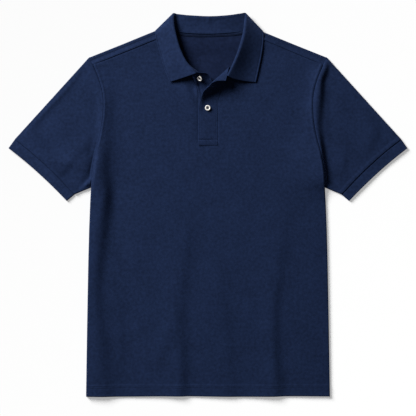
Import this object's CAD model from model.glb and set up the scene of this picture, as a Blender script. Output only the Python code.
"""The looks of a polo shirt laid flat on its back.

Sizes are in millimetres and become metres where a vertex is placed. +X is the wearer's left, +Y
runs from the hem to the collar and +Z is up. The sections follow the shirt as it is put together.
"""

import math

import bmesh
import bpy
import numpy as np
from mathutils import Euler, Matrix, Vector


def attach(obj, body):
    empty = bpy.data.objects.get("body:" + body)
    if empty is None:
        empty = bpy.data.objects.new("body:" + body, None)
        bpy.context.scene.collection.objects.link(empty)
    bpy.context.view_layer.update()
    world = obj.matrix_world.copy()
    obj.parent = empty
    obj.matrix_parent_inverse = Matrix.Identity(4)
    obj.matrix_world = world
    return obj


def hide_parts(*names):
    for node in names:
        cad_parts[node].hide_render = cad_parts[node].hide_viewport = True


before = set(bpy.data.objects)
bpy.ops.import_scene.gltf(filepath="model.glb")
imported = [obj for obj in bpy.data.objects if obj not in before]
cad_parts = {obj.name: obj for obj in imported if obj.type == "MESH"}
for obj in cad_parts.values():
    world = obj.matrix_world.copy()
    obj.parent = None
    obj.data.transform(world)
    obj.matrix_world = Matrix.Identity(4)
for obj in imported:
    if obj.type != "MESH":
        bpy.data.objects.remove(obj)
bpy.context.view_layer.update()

# ------------
# Back. One piece of pique knit, laid face down on the surface. It is cut long at the shoulders, so
# that it comes forward round the shoulder fold to a seam, where it is pressed over and topstitched.
MM = 0.001
KNIT_WALL = 1.2
BODY_HEIGHT = 5.4
SIDE_GAP = 0.2
SIDE_RADIUS = (BODY_HEIGHT - SIDE_GAP) / 2
SEAM_GAP = 0.15
HEM_Y = -392
ARMPIT = (239.9, 36.4)
SIDE = (  # x, y: half width of the body from the hem up to the armpit
    (250.2, -392.9), (249.3, -330), (248, -250), (246.6, -173), (245.4, -112),
    (243.8, -50), (241.6, 5), ARMPIT,
)
SHOULDER_TIP = (244.6, 302.9)
ARMHOLE_BACK = (  # x, y: from the armpit to the shoulder fold
    ARMPIT, (237.5, 80), (231, 130), (226.5, 180), (227.5, 230), (234, 270), SHOULDER_TIP,
)
SHOULDER_SEAM_END = (235.3, 288.6)
NECK_POINT = (70, 372.7)
NECK_SEAM_POINT = (69.5, 354.9)
NECK_SHIFT = 6
SHOULDER_SLOPE = -0.41
BACK_NECKLINE = (  # x, y: from the wearer's right to left
    (-70, 372.7), (-65, 356.9), (-42, 350.8), (3, 349.8), (48, 351.8), (71, 356.4), (76, 370.2),
)
# How far up its inner end each row is, at even steps up the armhole
BACK_SHARES = (0, 0.11, 0.22, 0.33, 0.44, 0.54, 0.64, 0.73, 0.80, 0.86, 0.90, 0.93, 0.96, 0.98, 1)
NECK_LIFT = 5.4
FALL_LIFT = 3.1
LIFT_OVALS = {  # centre x, y, half axes x, y, end and length of the fade in half axes
    "neck": (4, 322, 68, 58, 1.52, 0.52),
    "fall": (3, 366, 112, 32, 2.1, 1.05),
}
HEM_ROWS = (0, 0.7, 1.6, 2.6, 4, 8, 14, 19, 20.6, 21.8, 22.8, 23.8, 25, 27.5, 32)
BODY_ROWS = 96
BACK_GRID = BACK_SIDE, BACK_MIDDLE, BACK_UPPER = 56, 28, 70
BACK_WRAP, BACK_FORWARD = 14, 14

# Shallow channels where the back has drawn up off the surface
BACK_FOLDS = (  # each a row of stations, as creased() reads them
    ((-150, 40, 13), (-165, -60, 13, 0, 0, 1.1), (-171, -150, 13, 0, 0, 0.8), (-172, -230, 13)),
    ((-40, -110, 15), (-54, -190, 15, 0, 0, 0.6), (-60, -300, 15, 0, 0, 1.2), (-61, -393, 15, 0, 0, 0.9)),
    ((66, 120, 14), (48, 30, 14, 0, 0, 0.8), (43, -60, 14, 0, 0, 0.7), (47, -150, 14)),
    ((128, -60, 12), (139, -160, 12, 0, 0, 0.7), (140, -280, 12, 0, 0, 1.3), (137, -393, 12, 0, 0, 1.1)),
    ((196, 60, 10), (203, 0, 10, 0, 0, 0.9), (203, -90, 10, 0, 0, 0.5), (199, -190, 10)),
    ((-205, 200, 15), (-165, 245, 15, 0, 0, 1), (-92, 300, 15)),
    ((203, 190, 13), (150, 246, 13, 0, 0, 0.9), (104, 292, 13)),
    ((34, 322, 9), (25, 295, 9, 1.3), (18, 272, 9, 1.7), (15, 250, 9)),
)


def ease(t):
    t = np.clip(t, 0, 1)
    return t * t * (3 - 2 * t)


def bell(distance, width):
    """1 on a line, falling away to either side of it."""
    return np.exp(-((distance / width) ** 2))


def until(value, start, length):
    """1 up to start, then down to 0 over this length."""
    return 1 - ease((value - start) / length)


def between(a, b, share):
    return a + (b - a) * share


def curve(points, t):
    """Places at t (0 to 1, an array) on a smooth curve through the points."""
    p = np.asarray(points, float)
    t = np.asarray(t, float)
    last = len(p) - 1
    place = np.clip(t, 0, 1) * last
    i = np.minimum(place.astype(int), last - 1)
    f = (place - i)[..., None]
    a, b = p[i], p[i + 1]
    before = np.where((i > 0)[..., None], p[np.maximum(i - 1, 0)], 2 * a - b)
    after = np.where((i + 2 <= last)[..., None], p[np.minimum(i + 2, last)], 2 * b - a)
    return 0.5 * (
        2 * a
        + (b - before) * f
        + (2 * before - 5 * a + 4 * b - after) * f ** 2
        + (3 * a - before - 3 * b + after) * f ** 3
    )


def beside(x, y, line, steps=8):
    """How far places lie to the left of a line through the points, which point they pass, and how far along."""
    path = curve(line, np.linspace(0, 1, steps * (len(line) - 1) + 1))
    start, run = path[:-1], np.diff(path, axis=0)
    length = np.hypot(run[:, 0], run[:, 1])
    before = np.concatenate([[0], np.cumsum(length)[:-1]])
    dx, dy = x[..., None] - start[:, 0], y[..., None] - start[:, 1]
    t = np.clip((dx * run[:, 0] + dy * run[:, 1]) / length ** 2, 0, 1)
    far = np.hypot(dx - t * run[:, 0], dy - t * run[:, 1])
    side = np.where(run[:, 0] * dy - run[:, 1] * dx < 0, -1, 1)
    nearest = far.argmin(-1)[..., None]
    way = np.take_along_axis(before + t * length, nearest, -1)[..., 0]
    passed = (nearest[..., 0] + np.take_along_axis(t, nearest, -1)[..., 0]) / steps
    return np.take_along_axis(far * side, nearest, -1)[..., 0], passed, way


def creased(folds, x, y):
    """Height of soft folds. Each drops from the right of its line to the left, as it is walked.

    A station is x, y, half width, drop, how far the high side runs out, and height along the middle.
    What is left out at its end is 0.
    """
    total = np.zeros(np.shape(x))
    for fold in folds:
        stations = np.array([(*station, 0, 0, 0)[:6] for station in fold], float)
        ends = stations[:, :2]
        window = 2.3 * max(26, stations[:, 2].max() * 2.6, stations[:, 4].max())
        low, high = ends.min(0) - window, ends.max(0) + window
        near = (x > low[0]) & (x < high[0]) & (y > low[1]) & (y < high[1])
        if not near.any():
            continue
        aside, passed, _ = beside(x[near], y[near], ends)
        half_width, drop, run_out, height = (np.interp(passed, range(len(fold)), row) for row in stations.T[2:])
        u = aside / half_width
        spread = np.where(u * drop < 0, np.maximum(run_out / half_width, 2.6), 2.6)
        step = (0.69 * np.tanh(-1.3 * u) * np.sign(drop) + 0.3) * np.abs(drop)
        total[near] += height * np.exp(-u * u) + step * bell(u, spread)
    return total


def reach(oval, x, y):
    """1 where the collar props the cloth up, fading to 0 outside."""
    centre_x, centre_y, half_x, half_y, end, fade = LIFT_OVALS[oval]
    return ease((end - np.hypot((x - centre_x) / half_x, (y - centre_y) / half_y)) / fade)


def crowded(share):
    """Spaces steps ever closer towards 1, where the seams are."""
    return 1 - (1 - np.clip(share, 0, 1)) ** 1.7


def outer_edge(armhole, rise):
    """Up the side for rise -1 to 0, then up the armhole for 0 to 1."""
    y = HEM_Y + (ARMPIT[1] - HEM_Y) * (np.minimum(rise, 0) + 1)
    x = np.interp(y, [row[1] for row in SIDE], [row[0] for row in SIDE])
    at = curve(armhole, np.maximum(rise, 0))
    return np.where(rise > 0, at[..., 0], x), np.where(rise > 0, at[..., 1], y)


def side_turn(inner, outer, share, rise):
    """Runs a layer out to the side, where it turns through a quarter circle: x, and how far it has turned.

    Above the armpit it runs straight out to the armhole.
    """
    flat = outer - inner - SIDE_RADIUS
    way = share * (flat + SIDE_RADIUS * math.pi / 2)
    angle = np.clip((way - flat) / SIDE_RADIUS, 0, math.pi / 2)
    round_x = inner + np.minimum(way, flat) + SIDE_RADIUS * np.sin(angle)
    x = between(round_x, between(inner, outer, share), ease(rise / 0.03))
    return x, (1 - np.cos(angle)) * until(rise, 0, 0.04)


def hem_rise(x, from_hem):
    """The turned-up hem's second layer, with the small puckers along its stitching."""
    pucker = 0.13 * np.sin(x / 1.9 + 2 * np.sin(x / 23)) * bell(from_hem - 20.5, 5)
    layer = 0.9 * until(from_hem, 22.4, 2.8) - 0.9 * until(from_hem, 0, 1.4)
    return layer + 0.35 * bell(from_hem - 2.2, 1.2) + pucker


def seam_band(distance):
    """Seam allowances pressed to one side and stitched down, by distance from the seam."""
    return 0.85 * until(distance, 5.2, 3) - 1.25 * bell(distance, 1.5)


def body_grid(column, row, side_columns, middle_columns, upper, armhole):
    """Which side of the body, steps and share out from the middle, rise, and the outer edge's x, y.

    The rise has the hem rows first, then goes up the side (to 0), then up the armhole (to 1).
    """
    middle = side_columns + middle_columns / 2
    step = np.abs(column - middle) - middle_columns / 2
    heights = np.concatenate([HEM_ROWS, np.linspace(37, ARMPIT[1] - HEM_Y, BODY_ROWS - len(HEM_ROWS) + 1)])
    low = heights[np.minimum(row, BODY_ROWS).astype(int)] / (ARMPIT[1] - HEM_Y) - 1
    rise = np.where(row <= BODY_ROWS, low, np.minimum((row - BODY_ROWS) / upper, 1))
    side = np.where(column >= middle, 1, -1)
    return side, step, crowded(step / side_columns), rise, *outer_edge(armhole, rise)


def back_under(x, y):
    """Underside of the back: flat on the surface but for shallow channels and over the collar's fall."""
    fall = FALL_LIFT * reach("fall", x, y)
    return np.maximum(fall, np.maximum(creased(BACK_FOLDS, x, y), 0))


def shoulder_line(side, share, forward):
    """A place on the shoulder: forward 0 is its fold and 1 its seam, share runs out from the neck."""
    shift = np.where(side > 0, NECK_SHIFT, 0)
    fold_x = between(NECK_POINT[0] + shift, SHOULDER_TIP[0], share)
    fold_y = between(NECK_POINT[1] + SHOULDER_SLOPE * shift, SHOULDER_TIP[1], share)
    seam_x = between(NECK_SEAM_POINT[0] + shift, SHOULDER_SEAM_END[0], share)
    seam_y = between(NECK_SEAM_POINT[1], SHOULDER_SEAM_END[1], share) + SEAM_GAP
    return side * between(fold_x, seam_x, forward), between(fold_y, seam_y, forward)


def back_place(column, row):
    side, step, share, rise, outer_x, outer_y = body_grid(column, row, *BACK_GRID, ARMHOLE_BACK)
    neck_x, neck_y = shoulder_line(side, np.zeros_like(share), 0)
    low_y = np.minimum(outer_y, ARMPIT[1])
    up = np.interp(np.maximum(rise, 0) * 14, range(15), BACK_SHARES)
    out_x, turned = side_turn(np.abs(neck_x), outer_x, share, rise)
    out_y = np.where(rise > 0, between(between(low_y, neck_y, up), outer_y, share), outer_y)
    top = curve(BACK_NECKLINE, (column - BACK_SIDE) / BACK_MIDDLE)
    half = BODY_HEIGHT / 2
    x = np.where(step < 0, top[..., 0], side * out_x)
    y = np.where(step < 0, between(low_y, top[..., 1], up), out_y - half * ease((rise - 0.96) / 0.04))
    wave = 0.5 * np.sin(x / 37 + 1) * np.exp(-(y - HEM_Y) / 15)
    z = back_under(x, y) + SIDE_RADIUS * turned
    # round the shoulder fold, then forward to the seam
    past = row - BODY_ROWS - BACK_UPPER
    angle = math.pi * np.clip(past / BACK_WRAP, 0, 1)
    forward = np.clip((past - BACK_WRAP) / BACK_FORWARD, 0, 1)
    fold_x, fold_y = shoulder_line(side, share, 0)
    seam_x, seam_y = shoulder_line(side, share, 1)
    low, high = back_under(fold_x, fold_y), front_top(fold_x, fold_y - half)
    wrap_y = fold_y - half + half * np.sin(angle)
    wrap_z = (low + high) / 2 - (high - low) / 2 * np.cos(angle)
    last_x, last_y = between(fold_x, seam_x, forward), between(fold_y - half, seam_y, forward)
    from_seam = np.hypot(seam_x - last_x, seam_y - last_y)
    last_z = front_top(last_x, last_y) + 1.6 * until(from_seam, 2.4, 4.4) - 0.3 * bell(from_seam - 9.4, 1.5)
    part = [past <= 0, past <= BACK_WRAP]
    return (
        np.select(part, [x, fold_x], last_x),
        np.select(part, [y - wave, wrap_y], last_y),
        np.select(part, [z, wrap_z], last_z),
    )


def front_top(x, y):
    """Outer face of the front, and of the sleeves' upper layer, before their own seams and folds."""
    lift = np.maximum(NECK_LIFT * reach("neck", x, y), FALL_LIFT * reach("fall", x, y))
    return BODY_HEIGHT + lift


def set_up(thing, **settings):
    for key, value in settings.items():
        setattr(thing, key, value)
    return thing


def in_scene(name, data):
    made = bpy.data.objects.new(name, data)
    bpy.context.scene.collection.objects.link(made)
    return made


def finished(name, mesh, *finishes, smooth=True):
    """Makes a mesh a piece with these materials."""
    data = bpy.data.meshes.new(name)
    mesh.to_mesh(data)
    mesh.free()
    if smooth:
        data.shade_smooth()
    for finish in finishes:
        data.materials.append(finish)
    return in_scene(name, data)


def cloth(name, columns, rows, place, finishes, wall, keep=None, stitches=(), grain=None,
          turn_over=False, closed=False, offset=-1, rounding=0.3):
    """A sheet of cloth: a grid put in place, with its own cloth and stitching coordinates, then its wall."""
    mesh = bmesh.new()
    bmesh.ops.create_grid(mesh, x_segments=columns, y_segments=rows, size=0.5)
    if keep:
        middles = [(face, face.calc_center_median()) for face in mesh.faces]
        spare = [face for face, at in middles if not keep((at.x + 0.5) * columns, (at.y + 0.5) * rows)]
        bmesh.ops.delete(mesh, geom=spare, context="FACES")
    mesh.verts.index_update()
    column = np.array([round((vert.co.x + 0.5) * columns) for vert in mesh.verts])
    row = np.array([round((vert.co.y + 0.5) * rows) for vert in mesh.verts])
    x, y, z = place(column.astype(float), row.astype(float))
    for vert, *at in zip(mesh.verts, x, y, z):
        vert.co = Vector(at) * MM
    across, down = grain(column, row, x, y) if grain else (x, y)
    weave = mesh.loops.layers.uv.new("weave")
    sewing = mesh.loops.layers.uv.new("sewing")
    corners = np.array([[loop.vert.index for loop in face.loops] for face in mesh.faces])
    away = np.full((len(stitches) + 1, len(corners), 4), 500.0)
    along = np.zeros_like(away)
    for i, line in enumerate(stitches):
        away[i], _, along[i] = beside(x[corners], y[corners], line)
    nearest = np.abs(away.mean(-1)).argmin(0)
    for f, face in enumerate(mesh.faces):
        for k, loop in enumerate(face.loops):
            loop[weave].uv = (across[corners[f, k]] * MM, down[corners[f, k]] * MM)
            loop[sewing].uv = (along[nearest[f], f, k] * MM, away[nearest[f], f, k] * MM)
    if closed:
        bmesh.ops.remove_doubles(mesh, verts=mesh.verts, dist=0.01 * MM)
    if turn_over:
        bmesh.ops.reverse_faces(mesh, faces=mesh.faces)
    piece = finished(name, mesh, *finishes)
    set_up(
        piece.modifiers.new("wall", "SOLIDIFY"), thickness=wall * MM, offset=offset, use_rim=True,
        material_offset=len(finishes) - 1,
    )
    set_up(
        piece.modifiers.new("soft edge", "BEVEL"), width=rounding * MM, segments=2, limit_method="ANGLE",
        angle_limit=math.radians(60),
    )
    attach(piece, "root")
    return piece


def feed(node, inputs):
    """Gives sockets, by name or number, a value or another node's output."""
    for socket, value in dict(inputs).items():
        if isinstance(value, bpy.types.NodeSocket):
            node.id_data.links.new(value, node.inputs[socket])
        else:
            node.inputs[socket].default_value = value
    return node


def add(tree, kind, inputs=(), **settings):
    """Adds a shader node, with its settings and sockets."""
    return feed(set_up(tree.nodes.new("ShaderNode" + kind), **settings), inputs)


def work(operation, *values):
    """A sum on numbers and sockets, as one Math node."""
    tree = next(value.id_data for value in values if isinstance(value, bpy.types.NodeSocket))
    return add(tree, "Math", enumerate(values), operation=operation).outputs[0]


def noise(place, scale, detail):
    return add(place.id_data, "TexNoise", {"Vector": place, "Scale": scale, "Detail": detail}).outputs[0]


def node_group(name, vector, amounts, outputs):
    """A shader node group: itself, its vector, its named amounts, and the node that its results go to."""
    group = bpy.data.node_groups.new(name, "ShaderNodeTree")
    group.interface.new_socket(vector, in_out="INPUT", socket_type="NodeSocketVector")
    for socket, value in amounts.items():
        group.interface.new_socket(socket, in_out="INPUT", socket_type="NodeSocketFloat").default_value = value
    for socket in outputs:
        group.interface.new_socket(socket, in_out="OUTPUT", socket_type="NodeSocketFloat")
    given = group.nodes.new("NodeGroupInput").outputs
    return group, *given[:len(amounts) + 1], group.nodes.new("NodeGroupOutput")


def pique_group():
    """Pique: rows of small raised cells, offset from row to row, in slightly uneven yarn."""
    group, weave, pitch, relief, out = node_group(
        "pique cells", "Weave", {"Pitch": 0.0012, "Relief": 0.00012}, ("Height", "Cell")
    )
    at = add(group, "SeparateXYZ", {0: weave}).outputs
    turn = work("DIVIDE", 2 * math.pi, pitch)
    yarn = noise(weave, 900, 2)
    wander = work("MULTIPLY_ADD", yarn, 1.2, -0.6)
    across = work("COSINE", work("MULTIPLY_ADD", at[0], turn, wander))
    down = work("COSINE", work("MULTIPLY", work("MULTIPLY", at[1], turn), 0.82))
    cell = work("MULTIPLY_ADD", work("MULTIPLY", across, down), 0.5, 0.5)
    height = work("MULTIPLY", work("MULTIPLY_ADD", yarn, 0.5, cell), relief)
    feed(out, {"Cell": cell, "Height": height})
    return group


def sewing_group():
    """A row of topstitching: thread in short stitches, sunk in the line that it pulls into the cloth."""
    group, sewing, stitch, sink, out = node_group(
        "topstitching", "Sewing", {"Stitch": 0.0028, "Sink": 0.0004}, ("Height", "Thread")
    )
    at = add(group, "SeparateXYZ", {0: sewing}).outputs
    away = work("ABSOLUTE", at[1])
    beat = work("PINGPONG", work("DIVIDE", at[0], stitch), 0.5)
    dash = add(group, "MapRange", {0: beat, 1: 0.03, 2: 0.13}, interpolation_type="SMOOTHSTEP")
    width = add(group, "MapRange", {0: away, 1: 0.00036, 2: 0.0002}, interpolation_type="SMOOTHSTEP")
    thread = work("MULTIPLY", dash.outputs[0], width.outputs[0])
    spread = work("MULTIPLY", work("POWER", work("DIVIDE", away, 0.0011), 2), -1)
    sunk = work("MULTIPLY", work("EXPONENT", spread), sink)
    height = work("SUBTRACT", work("MULTIPLY", thread, 0.00022), sunk)
    feed(out, {"Thread": thread, "Height": height})
    return group


def nap_group():
    """Unevenness of worn-in knit: soft patches of shade, and a surface that is never quite flat."""
    group, place, out = node_group("uneven nap", "Place", {}, ("Shade", "Height"))
    broad, fine = noise(place, 26, 3), noise(place, 170, 3)
    shade = work("MULTIPLY_ADD", fine, 0.95, work("MULTIPLY_ADD", broad, 0.35, 0.35))
    height = work("MULTIPLY_ADD", fine, 0.00009, work("MULTIPLY", broad, 0.0009))
    feed(out, {"Shade": shade, "Height": height})
    return group


PIQUE = pique_group()
SEWING = sewing_group()
NAP = nap_group()


def new_finish(name):
    made = bpy.data.materials.new(name)
    made.use_nodes = True
    return made, made.node_tree, made.node_tree.nodes["Principled BSDF"]


def cloth_finish(name, colour, knit, pitch, relief, sheen=0.12):
    """Dyed cotton: its knit, nap and topstitching as colour and relief under a faint sheen."""
    made, tree, shader = new_finish(name)
    weave, sewing = (add(tree, "UVMap", uv_map=layer).outputs[0] for layer in ("weave", "sewing"))
    place = add(tree, "TexCoord").outputs["Object"]
    cells = add(tree, "Group", {"Weave": weave, "Pitch": pitch, "Relief": relief}, node_tree=knit).outputs
    rows = add(tree, "Group", {"Sewing": sewing, "Sink": 0.0004}, node_tree=SEWING).outputs
    nap = add(tree, "Group", {"Place": place}, node_tree=NAP).outputs
    shade = work("MULTIPLY", work("MULTIPLY_ADD", cells["Cell"], 0.22, 0.86), nap["Shade"])
    dyed = add(tree, "VectorMath", {0: colour, "Scale": shade}, operation="SCALE").outputs[0]
    sewn = add(tree, "Mix", {0: rows["Thread"], 6: dyed, 7: (*NAVY_THREAD, 1)}, data_type="RGBA")
    height = work("ADD", work("ADD", cells["Height"], rows["Height"]), nap["Height"])
    bump = add(tree, "Bump", {"Height": height, "Strength": 1, "Distance": 1})
    feed(shader, {
        "Base Color": sewn.outputs[2],
        "Roughness": work("MULTIPLY_ADD", rows["Thread"], -0.25, 0.88),
        "Normal": bump.outputs[0],
        "Specular IOR Level": 0.05,
        "Sheen Weight": sheen,
        "Sheen Roughness": 0.45,
        "Sheen Tint": (0.25, 0.36, 0.75, 1),
    })
    return made


NAVY = (0.0112, 0.0215, 0.0610)
NAVY_WRONG_SIDE = (0.0081, 0.0146, 0.0430)
NAVY_THREAD = (0.0140, 0.0262, 0.0720)
pique = cloth_finish("navy pique", NAVY, PIQUE, 0.0012, 0.00012)
pique_back = cloth_finish("navy pique, wrong side", NAVY_WRONG_SIDE, PIQUE, 0.0010, 0.00007)

HEM_STITCHES = [  # the coverstitch's two rows
    [(x, HEM_Y + up) for x in (-247, -120, 0, 120, 247)] for up in (20.8, 17)
]


def shoulder_stitches(side):
    """The row along the back's edge of the shoulder seam."""
    shift = NECK_SHIFT if side > 0 else 0
    start = (side * (NECK_SEAM_POINT[0] + shift + 3), NECK_SEAM_POINT[1] + 8.6)
    return (start, (side * (SHOULDER_SEAM_END[0] + 3), SHOULDER_SEAM_END[1] + 8.2))


back = cloth(
    "back", 2 * BACK_SIDE + BACK_MIDDLE, BODY_ROWS + BACK_UPPER + BACK_WRAP + BACK_FORWARD, back_place,
    (pique, pique_back), KNIT_WALL, turn_over=True,
    keep=lambda column, row: not (0 < column - BACK_SIDE < BACK_MIDDLE and row > BODY_ROWS + BACK_UPPER),
    stitches=(*HEM_STITCHES, shoulder_stitches(1), shoulder_stitches(-1)),
)
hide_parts("back_panel")

# ------------
# Front. One piece of the same knit, laid over the back, with a cut-out for the placket. The armhole
# allowances are pressed to the body and stitched down, and the hem is turned up and coverstitched.
ARMHOLE_FRONT = (  # x, y: from the armpit to the shoulder seam
    ARMPIT, (237.4, 73), (230.5, 108), (220.5, 148), (214.6, 190), (215.6, 228), (224, 260),
    SHOULDER_SEAM_END,
)
CUT_OUT_Y = 128
CUT_OUT_RIGHT = ((-19.7, CUT_OUT_Y), (-19.7, 165), (-19.6, 200), (-20.5, 226), (-27, 253), (-38.5, 279))
CUT_OUT_LEFT = ((19.7, CUT_OUT_Y), (19.7, 165), (20, 200), (23.5, 226), (35, 253), (53.5, 284.5))
NECKLINE_RIGHT = ((-38.5, 279), (-48, 296), (-57, 316), (-63.5, 336), (-69.5, 354.9))
NECKLINE_LEFT = ((53.5, 284.5), (60.5, 300), (67, 318), (71.5, 337), (75.5, 354.9))
FRONT_GRID = FRONT_SIDE, FRONT_MIDDLE, FRONT_UPPER = 68, 12, 98
CHEST_SHARE, EDGE_SHARE = 3 / 14, 0.6

DRAPE = (  # the front's folds, which run on across the armholes into the sleeves
    ((-201, 305, 14, 0, 36), (-201, 255, 14, 1.4, 36), (-200, 205, 13, 3, 34), (-205, 140, 14, 2.6, 36),
     (-208, 82, 15, 5.8, 50), (-203, 22, 13, 10.8, 80), (-210, -40, 16, 9.6, 50), (-222, -153, 16, 7.2, 42),
     (-219, -225, 17, 6.4, 44), (-210, -311, 19, 5.8, 49), (-205, -392, 20, 4, 52)),
    ((-222, 238, 7, 0, 20), (-222.6, 205, 7, -1.5, 22), (-223, 172, 6.4, -2.3, 26),
     (-223.6, 142, 5.6, -3, 32), (-225.6, 124, 4.6, -3.6, 28), (-228, 103, 3.8, -4.8, 24),
     (-231, 83, 3.1, -5.4, 22), (-233.6, 62, 2.9, -4.8, 22), (-236, 44, 2.9, -3.4, 22), (-239, 20, 3.4, 0, 24)),
    ((246, 300, 5, 0, 20), (243.4, 278, 5.4, 4.8, 20), (235.4, 257, 6, 6.8, 20), (234.4, 236, 6.6, 7.4, 20),
     (233, 216, 7.6, 7.6, 20), (231, 185, 9.5, 6.8, 26), (230.4, 155, 9.5, 5.6, 40),
     (233.4, 124, 6.4, 8.6, 60), (235.6, 103, 5.6, 12, 60), (239, 83, 5.2, 12.8, 60),
     (241.2, 62, 5, 12.6, 60), (243, 46, 5, 9.6, 60), (244.6, 28, 5, 3.6, 60), (246, 8, 6, 0, 60)),
    ((-35, -20, 12), (-37, -66, 12, 1.8), (-46, -153, 15, 3), (-50, -225, 16, 3.2), (-49, -290, 14, 3.9),
     (-48, -337, 13, 5.4), (-48, -394, 13, 5.2)),
    ((-52, -190, 11), (-63, -235, 12, 1.2), (-86, -305, 11, 1.3), (-97, -352, 11)),
    ((26, -100, 16), (32, -155, 16, 1.4), (38, -225, 16, 2.2), (48, -310, 16, 2.2), (55, -394, 14, 2.2)),
    ((172, 20, 16), (166, -10, 16, 1), (158, -66, 16, 1.4), (148, -153, 13, 2.7), (140, -225, 12, 3.9),
     (143, -310, 12, 4.6), (147, -350, 14, 5.2), (148, -394, 16, 5.4)),
    ((-174, -185, 8), (-174, -225, 8, 1), (-173, -310, 8, 1.2), (-171, -375, 8)),
    ((92, -196, 10), (92, -228, 10, 1), (95, -266, 10)),
    ((-192, 205, 24), (-190, 150, 24, 1.8), (-186, 80, 26, 3.2), (-190, 20, 26, 2), (-190, -90, 26, 2.4),
     (-188, -220, 28, 3.6), (-188, -330, 28, 3.2), (-190, -392, 28, 2)),
    ((-54, 258, 5), (-43, 245, 4.6, 2.6, 0, -0.6), (-35, 232, 4.6, 3.6, 0, -0.6), (-27, 218, 4, 2.4, 0, -0.4),
     (-23, 205, 4)),
    ((-19, 262, 3.4), (-23.5, 244, 3.4, -2.6, 0, 0.5), (-24, 228, 3.4, -2.2, 0, 0.3), (-23, 212, 3.4)),
    ((-20, 134, 3), (-23, 122, 3, 0, 0, 0.5), (-24, 106, 3)),
    ((60, 240, 8), (48, 236, 8, 1.4, 0, -1.6), (34, 232, 8, 2, 0, -2), (20, 228, 8, 1.4, 0, -1.4), (6, 224, 8)),
    ((-24.4, 196, 2.2), (-24.6, 178, 2.2, 1), (-24.8, 162, 2.2, 0.8), (-24.8, 146, 2.2)),
)


def body_relief(x, y):
    """What the front's folds, hem, armhole seams and placket seam add to its height."""
    from_armhole = beside(np.abs(x), y, ARMHOLE_FRONT)[0]
    armhole = ease((y - 25) / 35) * (seam_band(from_armhole) + bell(from_armhole, 20))
    to_placket = np.hypot(x + 22, np.maximum(np.abs(y - 170) - 40, 0) / 3)
    return creased(DRAPE, x, y) + armhole + hem_rise(x, y - HEM_Y) - 1.6 * bell(to_placket, 3.4)


def front_place(column, row):
    side, step, share, rise, outer_x, outer_y = body_grid(column, row, *FRONT_GRID, ARMHOLE_FRONT)
    # inner end: straight up to the cut-out, up its edge, then round the neckline
    chest = np.clip(rise / CHEST_SHARE, 0, 1)
    upper = np.clip((rise - CHEST_SHARE) / (1 - CHEST_SHARE), 0, 1)
    right, left = (
        np.where(
            (upper <= EDGE_SHARE)[..., None],
            curve(edge, upper / EDGE_SHARE),
            curve(neckline, (upper - EDGE_SHARE) / (1 - EDGE_SHARE)),
        )
        for edge, neckline in ((CUT_OUT_RIGHT, NECKLINE_RIGHT), (CUT_OUT_LEFT, NECKLINE_LEFT))
    )
    inner = np.where((side > 0)[..., None], left, right)
    half = CUT_OUT_LEFT[0][0]
    inner_x = np.where(upper > 0, np.abs(inner[..., 0]), half)
    inner_y = np.where(rise > 0, between(ARMPIT[1], CUT_OUT_Y, chest), outer_y)
    inner_y = np.where(upper > 0, inner[..., 1], inner_y)
    out_x, turned = side_turn(inner_x, outer_x, share, rise)
    in_middle = step < 0
    x = np.where(in_middle, (column - FRONT_SIDE - FRONT_MIDDLE / 2) / (FRONT_MIDDLE / 2) * half, side * out_x)
    y = np.where(in_middle, inner_y, between(inner_y, outer_y, share))
    turned = np.where(in_middle, 0, turned)
    from_shoulder = beside(np.abs(x), y, (NECK_SEAM_POINT, SHOULDER_SEAM_END), steps=1)[0]
    shoulder = 0.7 * bell(from_shoulder, 9) - bell(from_shoulder, 1.4)
    z = np.maximum(front_top(x, y) + body_relief(x, y) * (1 - turned), 3) - SIDE_RADIUS * turned + shoulder
    return x, y - 0.5 * np.sin(x / 41) * np.exp(-(y - HEM_Y) / 15), z


def armhole_stitches(side):
    """The row of stitching 6 mm inside the armhole seam."""
    line = [(side * (ARMPIT[0] + 4), ARMPIT[1] - 8), (side * (ARMPIT[0] - 3.5), ARMPIT[1] - 3)]
    for t in np.linspace(0.06, 1, 12):
        before, at, ahead = curve(ARMHOLE_FRONT, np.array([t - 0.001, t, t + 0.001]))
        run = ahead - at if t < 1 else at - before
        run = run / np.hypot(*run)
        line.append((side * (at[0] - 6 * run[1]), at[1] + 6 * run[0]))
    return line


front = cloth(
    "front", 2 * FRONT_SIDE + FRONT_MIDDLE, BODY_ROWS + FRONT_UPPER, front_place,
    (pique, pique_back), KNIT_WALL,
    keep=lambda column, row: not (
        0 < column - FRONT_SIDE < FRONT_MIDDLE and row > BODY_ROWS + CHEST_SHARE * FRONT_UPPER
    ),
    stitches=(*HEM_STITCHES, armhole_stitches(1), armhole_stitches(-1)),
)
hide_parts("front_panel")

# ------------
# Sleeves. Each is one piece of the knit closed into a tube by a seam under the arm, laid flat, so
# that it has an upper and a lower layer. It swells a little where it is set into the armhole.
CUFF_SEAM = ((395.7, 136.4), (273.3, 22.6), 4.5)  # outer end, inner end, bow
SIDES = {"left": 1, "right": -1}
SLEEVE_COLUMNS, SLEEVE_ROWS = 37 * 5, 66
SLEEVE_GRAIN = (0.685, 0.73)  # x, y: which way its wales run

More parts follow.
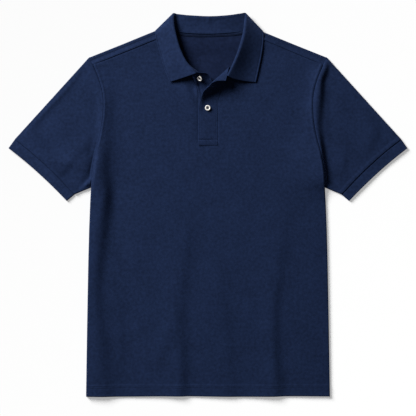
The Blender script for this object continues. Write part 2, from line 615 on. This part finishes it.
SLEEVE_FOLDS = (  # the wearer's left sleeve first, then the right
    ((316, 198, 12), (335, 177, 12, 1.6), (347, 152, 12, 2.4), (338, 124, 12, 2.2), (324, 98, 11)),
    ((283, 132, 7), (283, 100, 7, 1.1), (280, 72, 7, 1.2), (277, 50, 7)),
    ((258, 96, 12), (262, 76, 12, 1.4), (272, 56, 12)),
    ((252, 285, 8, 0, 8), (249, 250, 8, 1.4, 8), (247, 205, 8, 1.4, 8), (247, 155, 8, 1.7, 8),
     (249, 110, 8, 1.7, 8), (253, 66, 8, 1.6, 8), (256, 40, 8, 0.6, 8)),
    ((250, 205, 16), (268, 160, 16, 1.2), (292, 128, 16)),
    ((-252, 290, 8), (-266, 268, 8, 1.8), (-286, 238, 8, 2.2), (-316, 207, 8, 2.2), (-341, 177, 8, 2),
     (-364, 150, 8)),
    ((-236, 126, 9), (-250, 114, 9, 1), (-267, 103, 9, 1.8), (-283, 83, 8, 2.2), (-295, 66, 8, 1.6),
     (-304, 50, 8)),
    ((-240, 142, 9, 0, 40), (-245, 112, 10, 3, 60), (-244, 91, 10, 5.6, 70), (-246, 71, 9, 5.4, 70),
     (-255, 47, 7, 0, 50)),
    ((-276, 16, 4), (-262, 30, 4, 3, 0, 1), (-250, 43, 4, 5, 0, 1.2), (-241, 54, 4, 3.6, 0, 0.6),
     (-234, 64, 4)),
    ((-352, 120, 9), (-326, 113, 9, 0.8, 0, -0.8), (-300, 112, 9)),
    ((-368, 172, 9), (-355, 154, 9, 2.4), (-332, 116, 10, 2.6), (-308, 92, 10, 2.2), (-286, 74, 10)),
    ((-300, 196, 18), (-290, 150, 18, 1, 0, 0.3), (-296, 110, 18)),
)
LOWER_FOLDS = (  # on the lower layer of either sleeve
    ((262, 250, 12), (300, 180, 12, 0, 0, 0.9), (352, 140, 12)),
    ((240, 150, 11), (268, 110, 11, 0, 0, 1), (300, 76, 11)),
    ((250, 60, 8), (276, 54, 8, 0, 0, 0.8), (296, 62, 8)),
)


def bowed(start, end, bow, share):
    """Places on a shallow arc that bows towards the shoulder."""
    run_x, run_y = end[0] - start[0], end[1] - start[1]
    lift = bow * 4 * share * (1 - share) / np.hypot(run_x, run_y)
    return between(start[0], end[0], share) + run_y * lift, between(start[1], end[1], share) - run_x * lift


def tube_station(place):
    """Round a flattened tube: armhole x, y, share across, turn from the upper layer to the lower.

    The place goes 1 over the shoulder, 14 down the front armhole, 4 round the underarm fold, 14 up the
    back armhole and 4 round the upper fold, 37 in all.
    """
    place = np.mod(place, 37)
    front = curve(ARMHOLE_FRONT, 1 - (place - 1) / 14)
    behind = curve(ARMHOLE_BACK, (place - 19) / 14)
    zone = [place < 1, place <= 15, place < 19, place <= 33]
    x, y = (
        np.select(zone, [between(tip, seam_end, place), front[..., k], armpit, behind[..., k]], tip)
        for k, (tip, seam_end, armpit) in enumerate(zip(SHOULDER_TIP, SHOULDER_SEAM_END, ARMPIT))
    )
    share = np.select(zone, [place / 15, place / 15, 1, 1 - (place - 19) / 14], 0)
    turn = np.select(zone, [0, 0, (place - 15) / 4, 1], 1 - (place - 33) / 4)
    return x, y, share, turn


def tube_place(side, place, down, start, end, lead, height, relief, overlap=0):
    """Places on a flattened tube, down from one rim to the other, half round at its two folds."""
    _, _, share, turn = tube_station(place)
    at_fold = (turn > 0) & (turn < 1) | (share == 0) | (share == 1)
    run_x, run_y = end[0] - start[0], end[1] - start[1]
    length = np.hypot(run_x, run_y)
    run_x, run_y = run_x / length, run_y / length
    way = between(lead, length + overlap, down)
    x, y = start[0] + run_x * way, start[1] + run_y * way
    top = height(side * x, y)
    angle = turn * math.pi
    inset = np.where(at_fold, np.sin(angle) - 1, -np.clip(1 - np.minimum(share, 1 - share) / 0.08, 0, 1))
    inset = top / 2 * inset * np.where(share < 0.5, 1, -1)
    x, y = x - run_y * inset, y + run_x * inset
    weight = np.where(at_fold, np.cos(angle) * 0.5 + 0.5, np.where(turn < 0.5, 1, 0))
    return side * x, y, top * weight + relief(side * x, y, share, way, length, weight)


def build_tube(wearers, kind, rows, finish, wall, place, rounding=0.3):
    """A sleeve or cuff on the wearer's left or right, its knit running along the arm."""
    side = SIDES[wearers]

    def placed(column, row):
        return place(side, column * 37 / SLEEVE_COLUMNS, row / rows)

    def grain(column, row, x, y):
        along, out = SLEEVE_GRAIN
        return x * side * along + y * out, x * side * out - y * along

    tube = cloth(
        f"{wearers}_{kind}", SLEEVE_COLUMNS, rows, placed, [finish], wall, grain=grain, closed=True,
        turn_over=side < 0, rounding=rounding,
    )
    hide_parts(f"{kind}_{wearers}")


def sleeve_relief(x, y, share, way, length, weight):
    """Folds and seams of the upper layer, and the lower layer's shallow folds."""
    near = ease(share / 0.10) * ease((1 - share) / 0.10)
    head = (1.25 * bell(way - 8, 8) - 1.3 * bell(way, 1.6)) * (0.7 + 0.3 * near)
    to_cuff = length - way
    hem = until(to_cuff, 3, 6) - 0.25 * until(to_cuff, -0.6, 1.2)
    folds = creased(SLEEVE_FOLDS + DRAPE[1:3], x, y) + creased(DRAPE[:1], x, y) * bell(way, 3)
    upper = head + hem + np.maximum(folds * ease(share / 0.04) * ease((1 - share) / 0.04), -2.2)
    lower = 0.9 * np.maximum(creased(LOWER_FOLDS, np.abs(x), y), 0) * near + 0.3 * until(to_cuff, 0, 5)
    return between(lower, upper, weight)


def sleeve_place(side, place, down):
    x, y, share, turn = tube_station(place)
    fold = np.where((turn > 0) & (turn < 1), 1, 0)
    closeness = np.maximum(until(share, 0, 0.02), until(1 - share, 0, 0.05))
    lead = SEAM_GAP - 1.6 * np.maximum(fold, closeness)
    down = down - 0.11 * np.sin(2 * math.pi * down)
    return tube_place(side, place, down, (x, y), bowed(*CUFF_SEAM, share), lead, front_top, sleeve_relief, 0.6)


for wearers in SIDES:
    build_tube(
        wearers, "sleeve", SLEEVE_ROWS, pique, KNIT_WALL, sleeve_place
    )

# ------------
# Cuffs. Bands of flat-knit rib, knitted to width with a finished edge, closed into rings and sewn to
# the sleeves, which stand a little proud of them at the seam.
RIB_WALL = 1.6
CUFF_EDGE = ((409.4, 117.4), (289.7, 8.9), 3.4)  # as CUFF_SEAM
CUFF_HEIGHT = 5
CUFF_ROWS = 16


def rib_group():
    """Flat-knit rib: fine raised wales side by side, each of small slanting loops."""
    group, weave, pitch, relief, out = node_group(
        "rib wales", "Weave", {"Pitch": 0.0014, "Relief": 0.00012}, ("Height", "Cell")
    )
    at = add(group, "SeparateXYZ", {0: weave}).outputs
    yarn = noise(weave, 800, 2)
    wander = work("MULTIPLY_ADD", yarn, 0.16, -0.08)
    beat = work("ADD", work("DIVIDE", at[0], pitch), wander)

    def ridges(beat, turn):
        return work("ABSOLUTE", work("SINE", work("MULTIPLY", beat, turn)))

    slant = work("MULTIPLY", ridges(beat, 2 * math.pi), 0.35)
    loop = ridges(work("ADD", work("DIVIDE", at[1], 0.00095), slant), math.pi)
    cell = work("MULTIPLY_ADD", loop, 0.3, work("MULTIPLY", ridges(beat, math.pi), 0.7))
    height = work("MULTIPLY", work("MULTIPLY_ADD", yarn, 0.35, cell), relief)
    feed(out, {"Cell": cell, "Height": height})
    return group


RIB = rib_group()
rib = cloth_finish("navy flat-knit rib", (0.0116, 0.0222, 0.0625), RIB, 0.0014, 0.00011)


def cuff_relief(x, y, share, way, length, weight):
    near = ease(share / 0.1) * ease((1 - share) / 0.1)
    to_edge = length - way
    edge = 0.25 * bell(to_edge - 1.6, 1.2) - 0.4 * until(to_edge, 0, 1)
    slack = 0.35 * np.sin(share * 9 + 1) * ease(way / 12) * near
    return (edge + slack - 2.4 * until(way, 0.9, 1.7)) * weight


def cuff_place(side, place, down):
    share = tube_station(place)[2]
    down = down - 0.09 * np.sin(2 * math.pi * down)
    seam, edge = bowed(*CUFF_SEAM, share), bowed(*CUFF_EDGE, share)
    return tube_place(side, place, down, seam, edge, SEAM_GAP, lambda x, y: CUFF_HEIGHT, cuff_relief)


for wearers in SIDES:
    build_tube(
        wearers, "cuff", CUFF_ROWS, rib, RIB_WALL, cuff_place, rounding=0.45
    )

# ------------
# Under placket. A folded strip of the knit sewn to the wearer's right edge of the cut-out. It
# carries the buttons and lies beneath the upper placket.
STRIP_WALL = 1.5
UNDER_ROWS = (  # seam x, y, free edge x, y
    (-20.3, 128.4, 18.6, 128.4), (-20.3, 165, 18.6, 165), (-20.2, 200, 18.2, 200),
    (-21.1, 226, 15.4, 228), (-27.6, 253, 8.4, 252), (-38, 272.4, -1.2, 270.6),
)
UNDER_RISE, UNDER_RISE_LENGTH = 16, 27
UNDER_COLUMNS, UNDER_STEPS = 24, 72


def strip_at(rows, down, across):
    """A place this share of the way down a strip and across it, with the row's own numbers."""
    at = np.moveaxis(curve(rows, down), -1, 0)
    return between(at[0], at[2], across), between(at[1], at[3], across), at


def strip_stitches(rows, across, first=0, last=1):
    """A row of stitching down a strip."""
    return list(zip(*strip_at(rows, np.linspace(first, last, 9), across)[:2]))


def under_place(column, row):
    down, across = row / UNDER_STEPS, column / UNDER_COLUMNS
    x, y, at = strip_at(UNDER_ROWS, down, across)
    from_seam = np.hypot(x - at[0], y - at[1])
    from_top = (1 - down) * 150
    drawn = ease(down * 4 - 1.9) * (0.8 * bell(from_seam - 2.6, 1.8) - bell(from_seam - 7.6, 1.8))
    rise = 1 - np.clip(((x + 22) * 0.6 + (276 - y) * 0.8) / UNDER_RISE_LENGTH, 0, 1)
    rise = UNDER_RISE * rise ** 1.2 * ease((y - 236) / 14) * ease((x + 44) / 14)
    lip = 5 * ease((x + 37) / 12) * until(across, 0.84, 0.16) * bell(from_top, 4)
    z = front_top(x, y) + 0.3 - 0.65 * bell(from_seam, 1.3) + drawn + rise + lip
    return x, y, z - 4 * bell(from_top, 2)


placket_under = cloth(
    "under_placket", UNDER_COLUMNS, UNDER_STEPS, under_place, [pique], STRIP_WALL, rounding=0.5,
    stitches=(strip_stitches(UNDER_ROWS, 0.06), strip_stitches(UNDER_ROWS, 0.93)),
)
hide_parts("placket_under")

# ------------
# Upper placket. The strip on the wearer's left edge, with the buttonholes, stitched down in a box at
# its foot. Above the lower button it lifts, and its top corner is turned back to show its inner face.
BOX_Y = 122.7
BOX_TOP = 134.4
UPPER_ROWS = (  # seam x, y, free edge x, y, how far the free edge curls up, how far in
    (19.5, BOX_Y, -19.4, BOX_Y, 0.3, 10), (19.5, 146, -19.4, 146, 0.4, 10), (19.5, 165, -19.3, 165, 0.5, 10),
    (19.4, 184, -19.1, 184, 0.7, 10), (20, 203, -18.2, 202, 3.2, 10), (22.5, 223, -14, 219.5, 8.4, 10),
    (28.5, 240, -7.6, 233.5, 16.5, 12), (34.8, 253, 4.7, 245.4, 20.5, 13.5), (42.7, 267, 10.5, 258.9, 12.6, 16),
    (47, 274, 10.2, 269.5, 8, 18), (53.3, 283, 8.8, 281, 2, 20),
)
FOLD_POINT = (9, 246.1)
FOLD_DIRECTION = np.array((0.727, 0.686)) / math.hypot(0.727, 0.686)
FOLD_RADIUS = 1.9
FOLD_TURN = math.pi - 0.75
UPPER_COLUMNS, UPPER_STEPS = 56, 190


def turned_back(x, y, z):
    """Rolls what lies beyond the corner's fold line back over itself."""
    run_x, run_y = FOLD_DIRECTION
    past = (x - FOLD_POINT[0]) * -run_y + (y - FOLD_POINT[1]) * run_x
    turn = np.clip(past / FOLD_RADIUS, 0, FOLD_TURN)
    over = np.maximum(0, past - FOLD_TURN * FOLD_RADIUS)
    back_by = np.maximum(past, 0) - FOLD_RADIUS * np.sin(turn) - over * math.cos(FOLD_TURN)
    z = z + FOLD_RADIUS * (1 - np.cos(turn)) + over * math.sin(FOLD_TURN)
    return x + run_y * back_by, y - run_x * back_by, z


def upper_place(column, row):
    across = column / UPPER_COLUMNS
    across = across - 0.06 * np.sin(2 * math.pi * across)
    x, y, at = strip_at(UPPER_ROWS, row / UPPER_STEPS, across)
    from_seam, from_edge = np.hypot(x - at[0], y - at[1]), np.hypot(x - at[2], y - at[3])
    foot = y - BOX_Y
    z = front_top(x, y) + 0.25 + 1.5 * ease(across / 0.75) + at[4] * bell(from_edge, at[5])
    z = z - 0.45 * bell(from_seam, 1.1) - 0.5 * bell(from_edge, 0.7)
    z = z + 0.9 * until(foot, 6, 10) * until(across, 0, 0.6)
    return turned_back(x, y, z - 0.6 * bell(foot, 0.8) - 1.2 * bell(y - BOX_TOP, 1.1))


placket_upper = cloth(
    "upper_placket", UPPER_COLUMNS, UPPER_STEPS, upper_place, [pique], STRIP_WALL, turn_over=True, rounding=0.5,
    stitches=(
        strip_stitches(UPPER_ROWS, 0.06, 0.02, 0.8), strip_stitches(UPPER_ROWS, 0.94, 0.02, 0.66),
        *([(x, y) for x in (-17.5, 0, 17.5)] for y in (BOX_TOP, BOX_Y + 1.6)),
    ),
)
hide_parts("placket_upper")

# ------------
# Collar. One band of flat-knit rib with a finished outer edge, sewn to the neckline and rolled over:
# an upright inner part, a soft roll, and a fall that lies on the front and under the back.
COLLAR_SECTIONS = (  # from the right front end, round the back
    # neck x, y, z, roll x, y, z, edge x, y, z, radius of the roll
    (-21, 272.6, 12.6, -24, 268.4, 30.5, -77.9, 252.9, 8.2, 1.9),
    (-41, 290, 12.4, -44.6, 293.2, 25, -88.8, 279.3, 8.2, 2.2),
    (-56, 313, 12.4, -58, 321.8, 22.5, -97.2, 308, 8.6, 2.4),
    (-65.5, 337, 11.8, -66.5, 351.9, 20.5, -104.8, 334, 8.9, 2.4),
    (-69, 357.5, 11.2, -70.8, 374.8, 17, -107.4, 349.5, 9.6, 2.4),
    (-69, 370.6, 7, -69.8, 391.2, 11.5, -107.9, 357.4, 5.4, 2.2),
    (-63.5, 357.6, 4.4, -61.5, 390.9, 7, -104.5, 354.4, 1.15, 2.2),
    (-42, 353.3, 4.4, -38, 388.4, 8.4, -68, 346.5, 1, 2.4),
    (3, 351.8, 4.4, 4, 386.5, 9, 4, 344, 1, 2.4),
    (46, 354, 4.4, 42, 388, 12.5, 76, 346.5, 1, 2.4),
    (70.5, 358.4, 4.4, 66.5, 391.2, 13.5, 108.8, 353.6, 1.15, 2),
    (76.8, 368.5, 7, 76, 391.6, 11, 112, 357, 5.4, 2),
    (76.5, 357.5, 11.2, 75.2, 374.5, 19.5, 113.5, 349.2, 9.6, 2.8),
    (74, 337, 11.8, 72.2, 351.5, 25, 112.8, 332, 8.8, 3.2),
    (69, 316, 12.4, 64.8, 323.6, 28.5, 109.2, 307, 8.4, 3.2),
    (60, 293, 13.2, 54.6, 296.2, 28.5, 103.6, 279, 8, 2.8),
    (46.5, 268.6, 14, 39.6, 263.6, 27, 97.8, 252.4, 7.4, 2),
)
COLLAR_COLUMNS, STAND_STEPS, ROLL_STEPS, FALL_STEPS = 16 * 12, 10, 14, 26
COLLAR_STEPS = STAND_STEPS + ROLL_STEPS + FALL_STEPS
COLLAR_FLAT = (400, 78)


def unit(vectors):
    return vectors / np.linalg.norm(vectors, axis=-1, keepdims=True)


def collar_place(column, row):
    along = column / COLLAR_COLUMNS
    neck, roll, edge, radius = np.split(curve(COLLAR_SECTIONS, along), (3, 6, 9), axis=-1)
    axis = unit(roll - (neck + edge) / 2)
    cross = edge - neck
    cross = unit(cross - axis * (cross * axis).sum(-1, keepdims=True))
    centre = roll - axis * radius
    stand = np.clip(row / STAND_STEPS, 0, 1)[..., None]
    angle = math.pi * np.clip((row - STAND_STEPS) / ROLL_STEPS, 0, 1)[..., None]
    fall = 1 - (1 - np.clip((row - STAND_STEPS - ROLL_STEPS) / FALL_STEPS, 0, 1)) ** 1.6
    at_front = ease((along - 0.70) / 0.08) + ease((0.30 - along) / 0.08)
    up = between(neck, centre - cross * radius, stand)
    up[..., 2] = between(neck[..., 2], up[..., 2], stand[..., 0] ** (2 - 2 * at_front))
    over = centre + radius * (axis * np.sin(angle) - cross * np.cos(angle))
    out = between(centre + cross * radius, edge, fall[..., None])
    right = 1.6 * ease(along / 0.08) * until(along, 0, 0.5) - 3 * until(along, 0, 0.08)
    left = -1.6 * ease(along * 2 - 0.8) - 2.2 * ease((along - 0.8) / 0.15)
    out[..., 1] -= 2.6 * np.sin(math.pi * fall ** 0.6) * ease((along - 0.94) / 0.06)
    to_edge = np.linalg.norm(edge - out, axis=-1)
    selvedge = 0.8 * bell(to_edge - 0.8, 1) - 0.3 * bell(to_edge - 3.2, 1.2)
    out[..., 2] += (np.sin(math.pi * fall) * (right + left) + selvedge) * at_front
    point = np.where((row <= STAND_STEPS)[..., None], up, np.where(fall[..., None] > 0, out, over))
    return np.moveaxis(point, -1, 0)


def collar_grain(column, row, x, y):
    """Wales run from the neck to the edge, so each column keeps one place along the collar."""
    return column / COLLAR_COLUMNS * COLLAR_FLAT[0], row / COLLAR_STEPS * COLLAR_FLAT[1]


collar = cloth(
    "rolled_collar", COLLAR_COLUMNS, COLLAR_STEPS, collar_place, [rib], RIB_WALL, grain=collar_grain,
    offset=0, rounding=0.45,
)
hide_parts("collar")

# ------------
# Neck tape. A narrow strip of plain knit with its edges turned under, laid over the back neck seam
# on the inside and stitched down along both edges.
TAPE_WALL = 0.9
TAPE_WIDTH = 4.6
TAPE_COLUMNS, TAPE_STEPS = 90, 6


def tape_line(share, up):
    """Places along the tape, between its lower edge (up 0) and the edge at the neck seam (up 1)."""
    share = 0.04 + 0.93 * share
    seam, ahead, behind = (curve(BACK_NECKLINE, share + step) for step in (0, 0.002, -0.002))
    run = unit(ahead - behind)
    drop = TAPE_WIDTH * (1 - up) - 0.3
    return seam[..., 0] + run[..., 1] * drop, seam[..., 1] - run[..., 0] * drop


def tape_place(column, row):
    x, y = tape_line(column / TAPE_COLUMNS, row / TAPE_STEPS)
    crown = 0.35 * np.sin(math.pi * row / TAPE_STEPS)
    return x, y, back_under(x, y) + KNIT_WALL + TAPE_WALL + 0.1 + crown


tape_finish = cloth_finish("navy neck tape", (0.0042, 0.0078, 0.0220), RIB, 0.0011, 0.00006, sheen=0.1)
neck_tape = cloth(
    "tape", TAPE_COLUMNS, TAPE_STEPS, tape_place, [tape_finish], TAPE_WALL, rounding=0.25,
    stitches=[list(zip(*tape_line(np.linspace(0, 1, 15), up))) for up in (0.2, 0.8)],
)
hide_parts("neck_tape")

# ------------
# Buttons. Turned from cream plastic, with a raised rim, a dished middle and four holes, each sewn on
# with navy thread: the top one tilted on the under placket, the lower one through its buttonhole.
BUTTON_RADIUS = 5.7
HOLE_RADIUS = 1
HOLE_PITCH = 2  # from the middle
BUTTON_PROFILE = (  # share of the radius, height
    (0, 1.25), (0.46, 1.25), (0.53, 1.42), (0.60, 2.15), (0.67, 2.50), (0.78, 2.62), (0.90, 2.45), (0.97, 2),
    (1, 1.45), (0.99, 0.9), (0.93, 0.4), (0.82, 0.08), (0.7, 0), (0, 0),
)

cream, tree, shader = new_finish("cream button")
place = add(tree, "TexCoord").outputs["Object"]
cloud = noise(place, 260, 3)
tint = add(tree, "Mix", {0: cloud, 6: (0.80, 0.76, 0.69, 1), 7: (0.92, 0.90, 0.86, 1)}, data_type="RGBA")
feed(shader, {
    "Base Color": tint.outputs[2],
    "Roughness": work("MULTIPLY_ADD", noise(place, 1500, 2), 0.2, 0.22),
    "Coat Weight": 0.3,
    "Coat Roughness": 0.12,
})

thread, tree, shader = new_finish("navy sewing thread")
place = add(tree, "TexCoord").outputs["Object"]
twist = add(tree, "TexWave", {"Vector": place, "Scale": 900, "Distortion": 2}).outputs[1]
tint = add(tree, "Mix", {0: twist, 6: (0.007, 0.010, 0.024, 1), 7: (0.015, 0.022, 0.05, 1)}, data_type="RGBA")
bump = add(tree, "Bump", {"Height": twist, "Distance": 0.0001, "Strength": 1})
feed(shader, {"Base Color": tint.outputs[2], "Normal": bump.outputs[0], "Roughness": 0.6})


def settle(mesh, centre, seat, lean):
    """Moves a mesh made round the origin to where the button sits, tilted."""
    turn = Matrix.Translation(Vector((*centre, seat)) * MM) @ Euler(lean).to_matrix().to_4x4()
    bmesh.ops.transform(mesh, matrix=turn, verts=mesh.verts)


def build_button(name, node, *seating):
    mesh = bmesh.new()
    verts = [mesh.verts.new((share * BUTTON_RADIUS * MM, 0, z * MM)) for share, z in BUTTON_PROFILE]
    edges = [mesh.edges.new(pair) for pair in zip(verts, verts[1:])]
    bmesh.ops.spin(
        mesh, geom=verts + edges, cent=(0, 0, 0), axis=(0, 0, 1), angle=2 * math.pi, steps=72, use_merge=True
    )
    bmesh.ops.remove_doubles(mesh, verts=mesh.verts, dist=0.01 * MM)
    bmesh.ops.recalc_face_normals(mesh, faces=mesh.faces)
    settle(mesh, *seating)
    button = finished(name, mesh, cream)
    drill = bmesh.new()
    for corner in range(4):
        made = bmesh.ops.create_cone(
            drill, cap_ends=True, segments=20, radius1=HOLE_RADIUS * MM, radius2=HOLE_RADIUS * MM, depth=9 * MM
        )
        angle = math.pi / 4 + corner * math.pi / 2
        offset = Vector((math.cos(angle), math.sin(angle), 0)) * HOLE_PITCH * MM
        bmesh.ops.translate(drill, vec=offset, verts=made["verts"])
    settle(drill, *seating)
    cutter = finished(name + "_drill", drill, smooth=False)
    set_up(button.modifiers.new("holes", "BOOLEAN"), operation="DIFFERENCE", solver="EXACT", object=cutter)
    bpy.context.view_layer.update()
    drilled = bpy.data.meshes.new_from_object(button.evaluated_get(bpy.context.evaluated_depsgraph_get()))
    button.modifiers.clear()
    button.data = drilled
    button.data.set_sharp_from_angle(angle=math.radians(40))
    bpy.data.objects.remove(cutter, do_unlink=True)
    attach(button, "root")
    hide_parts(node)


def build_thread(name, *seating):
    """Two flat bars of thread from hole to hole, each of four strands, and the shank below the button."""
    mesh = bmesh.new()
    for side in (-1, 1):
        for strand in range(4):
            made = bmesh.ops.create_uvsphere(mesh, u_segments=8, v_segments=10, radius=1)
            offset = Vector((side * 1.16 + (strand - 1.5) * 0.5, 0, 1.42 + 0.06 * (strand % 2)))
            bmesh.ops.scale(mesh, vec=(0.32 * MM, 2.8 * MM, 0.42 * MM), verts=made["verts"])
            bmesh.ops.translate(mesh, vec=offset * MM, verts=made["verts"])
    shank = bmesh.ops.create_cone(
        mesh, cap_ends=True, segments=16, radius1=1.9 * MM, radius2=1.6 * MM, depth=1.6 * MM
    )
    bmesh.ops.translate(mesh, vec=Vector((0, 0, -0.75)) * MM, verts=shank["verts"])
    settle(mesh, *seating)
    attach(finished(name, mesh, thread), "root")


seats = {
    name: (centre, float(front_top(*map(np.array, centre))) + raised, lean)
    for name, centre, raised, lean in (
        ("top", (-16.2, 259), 8.2, (0.56, -0.74, 0)),
        ("lower", (-0.5, 199.4), 2.8, (0, 0, 0)),
    )
}
for name, seating in seats.items():
    build_button(name + "_button", "button_" + name, *seating)
for name, seating in seats.items():
    build_thread(name + "_button_thread", *seating)

# ------------
# Floor, lights and camera: a plain white surface, a large soft light from the upper left with an
# even white fill, and a camera straight above the shirt.
KEY_PLACE = (-2.34, 2.11, 2.125)

white, tree, shader = new_finish("white floor")
place = add(tree, "TexCoord").outputs["Object"]
distance = add(tree, "VectorMath", {0: place, 1: KEY_PLACE}, operation="DISTANCE").outputs["Value"]
key_light = work("DIVIDE", 48.9, work("POWER", distance, 3))
pale = work("DIVIDE", 0.67, work("ADD", key_light, 0.07))
feed(shader, {
    "Base Color": add(tree, "CombineColor", {0: pale, 1: pale, 2: pale}).outputs[0],
    "Roughness": 0.9,
    "Specular IOR Level": 0,
    "Emission Color": (1, 1, 1, 1),
    "Emission Strength": 0.36,
})
mesh = bmesh.new()
bmesh.ops.create_grid(mesh, x_segments=1, y_segments=1, size=3)
bmesh.ops.translate(mesh, vec=(0, 0, -0.0003), verts=mesh.verts)
finished("floor", mesh, white, smooth=False)

world = bpy.data.worlds.new("studio")
world.use_nodes = True
feed(world.node_tree.nodes["Background"], {0: (1, 1, 1, 1), 1: 0.07})
bpy.context.scene.world = world

key = in_scene("key", set_up(bpy.data.lights.new("key", "AREA"), shape="DISK", size=2, energy=227))
key.location = KEY_PLACE
key.rotation_euler = (-key.location).to_track_quat("-Z", "Y").to_euler()

camera = in_scene("camera", set_up(bpy.data.cameras.new("camera"), lens=100, sensor_width=36))
camera.location = (0, -0.0054, 2.374)
bpy.context.scene.camera = camera
bpy.context.scene.view_settings.view_transform = "Standard"
